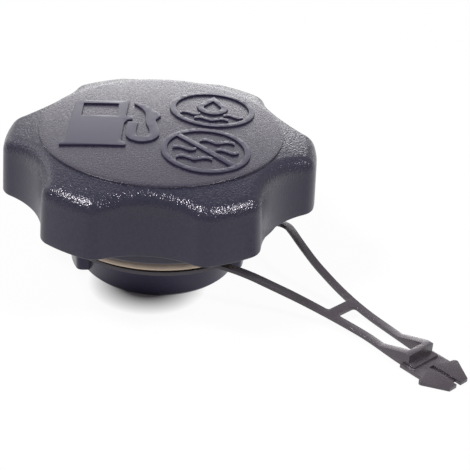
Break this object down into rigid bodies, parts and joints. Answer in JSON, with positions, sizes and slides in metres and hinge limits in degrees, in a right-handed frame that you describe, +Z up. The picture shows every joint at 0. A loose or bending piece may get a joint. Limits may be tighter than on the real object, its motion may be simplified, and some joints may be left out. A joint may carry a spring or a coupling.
{
  "type": "fuel filler cap",
  "caption": "Six-lobed black plastic fuel filler cap with a raised disc on top, a hollow bayonet plug, a pale rubber seal and a barbed retaining strap that turns on the plug.",
  "frame": {"origin": "on the cap's axis, level with the plug's lower rim, which is the face that the cap stands on", "axes": "+Z up along the cap's axis towards the grip, +X along the straight end of the retaining strap"},
  "size_m": [0.11, 0.0684, 0.0338],
  "materials": {
    "grip": "coarse moulded grain, fine grain on the raised disc",
    "plug": "smooth moulded",
    "seal": "matt pale rubber",
    "valve": "matt black rubber",
    "plate": "smooth moulded",
    "foam": "open-cell foam",
    "strap": "satin moulded"
  },
  "bodies": {
    "cap": {"knob": "grip", "closure_plug": "plug", "sealing_ring": "seal", "umbrella_valve": "valve", "splash_plate": "plate", "vent_foam": "foam"},
    "strap": {"tether_strap": "strap"}
  },
  "joints": [
    {"name": "strap_swivel", "type": "hinge", "parent": "cap", "child": "strap", "pos_m": [0, 0, 0.009], "axis": [0, 0, 1], "continuous": true}
  ]
}
